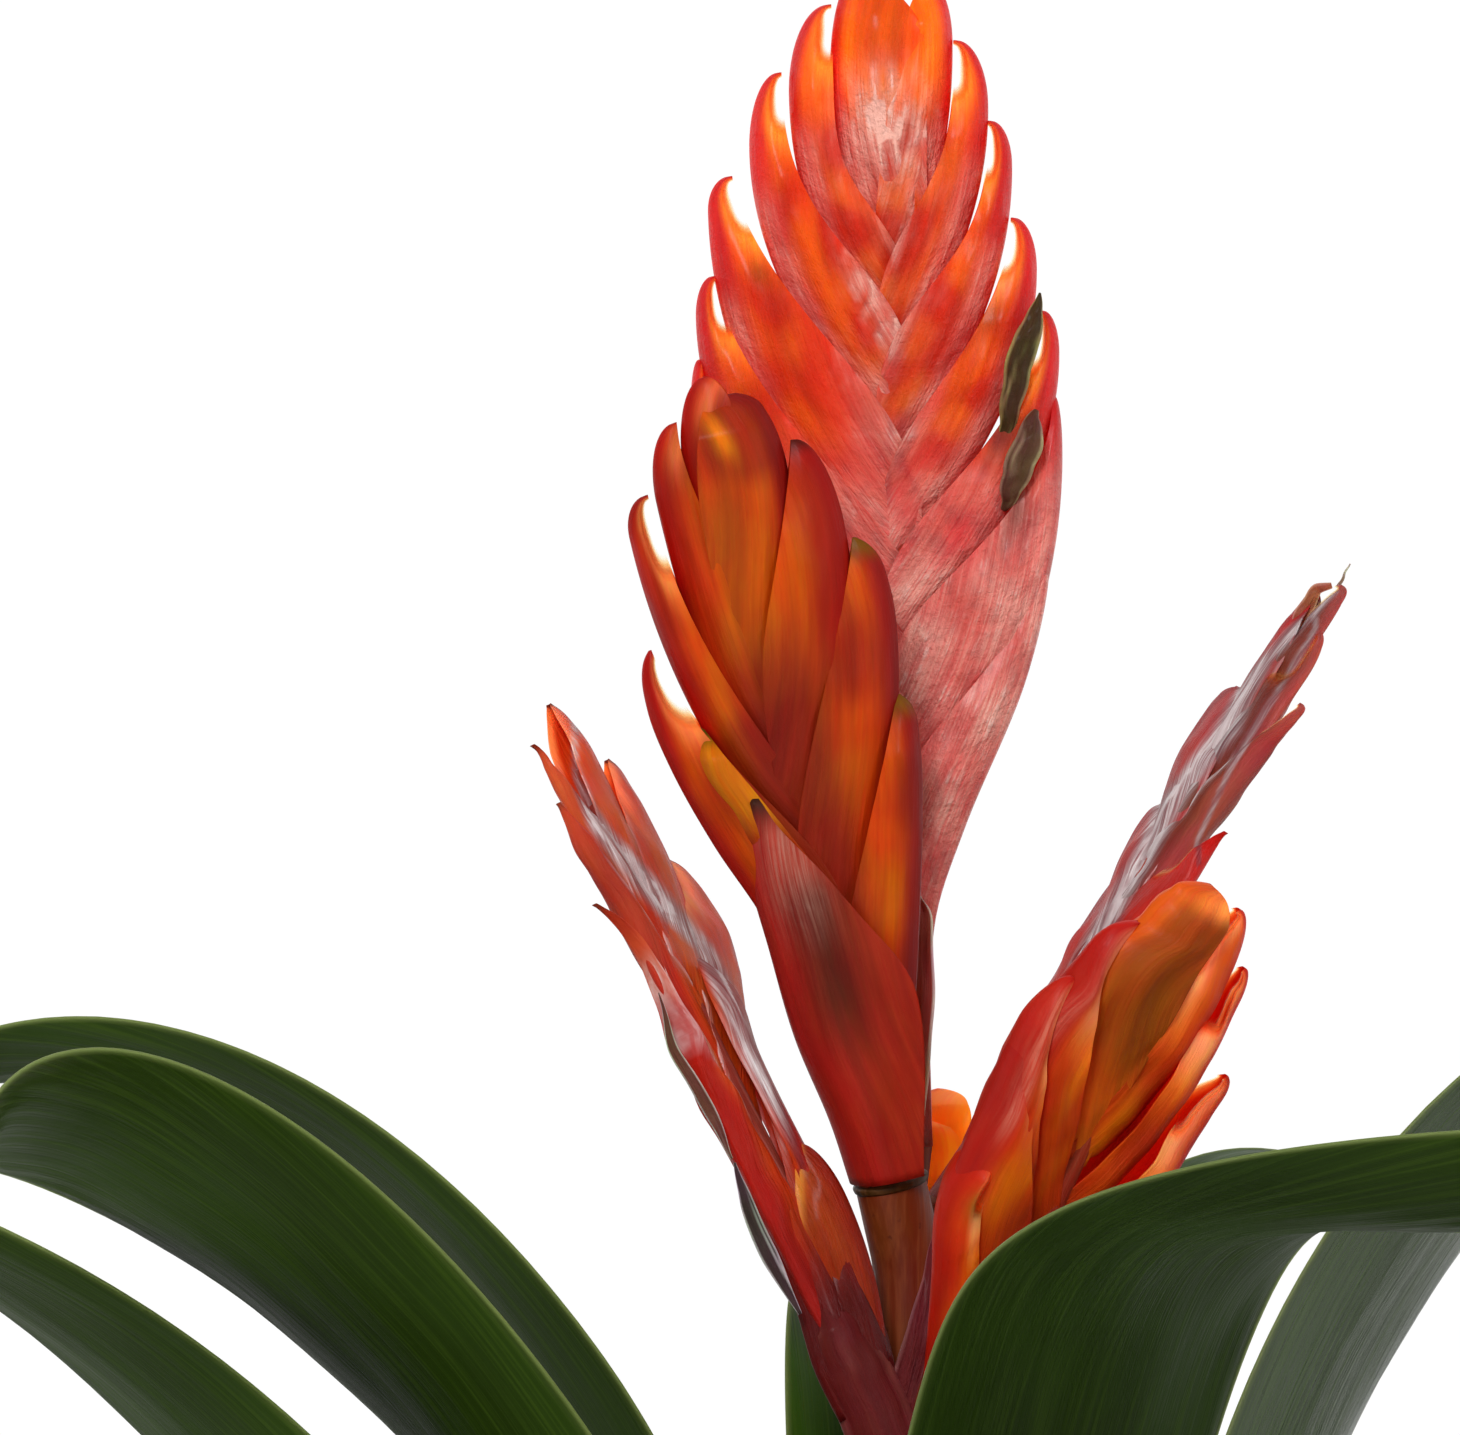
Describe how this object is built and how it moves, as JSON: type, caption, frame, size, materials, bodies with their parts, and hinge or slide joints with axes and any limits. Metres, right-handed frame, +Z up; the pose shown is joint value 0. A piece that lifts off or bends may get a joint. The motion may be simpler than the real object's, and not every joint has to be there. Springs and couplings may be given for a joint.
{
  "type": "bromeliad plant",
  "caption": "Flaming sword bromeliad cut from its roots: arching strap leaves in a rosette around a stem that carries flat feather-like flower spikes of overlapping red and orange bracts.",
  "frame": {"origin": "middle of the flat cut face under the stem base, on the surface the plant stands on", "axes": "+Z up along the plant, -Y the side the largest spike's flat face is turned to, +X to the right seen from that side; -Z is the outward normal of the cut face"},
  "size_m": [0.5529, 0.5691, 0.4327],
  "materials": {
    "leaf": null,
    "base": "dull, dry cut stem",
    "stem": null,
    "bract": null
  },
  "bodies": {
    "root": {"leaf_01": "leaf", "leaf_02": "leaf", "leaf_03": "leaf", "leaf_04": "leaf", "leaf_05": "leaf", "leaf_06": "leaf", "leaf_07": "leaf", "leaf_08": "leaf", "leaf_09": "leaf", "leaf_10": "leaf", "leaf_11": "leaf", "leaf_12": "leaf", "leaf_13": "leaf", "leaf_14": "leaf", "stem_base": "base", "scape": "stem", "spike_main": "bract", "spike_front": "bract", "spike_left": "bract", "spike_right_lower": "bract", "spike_right_upper": "bract", "spike_back": "bract"}
  },
  "joints": []
}
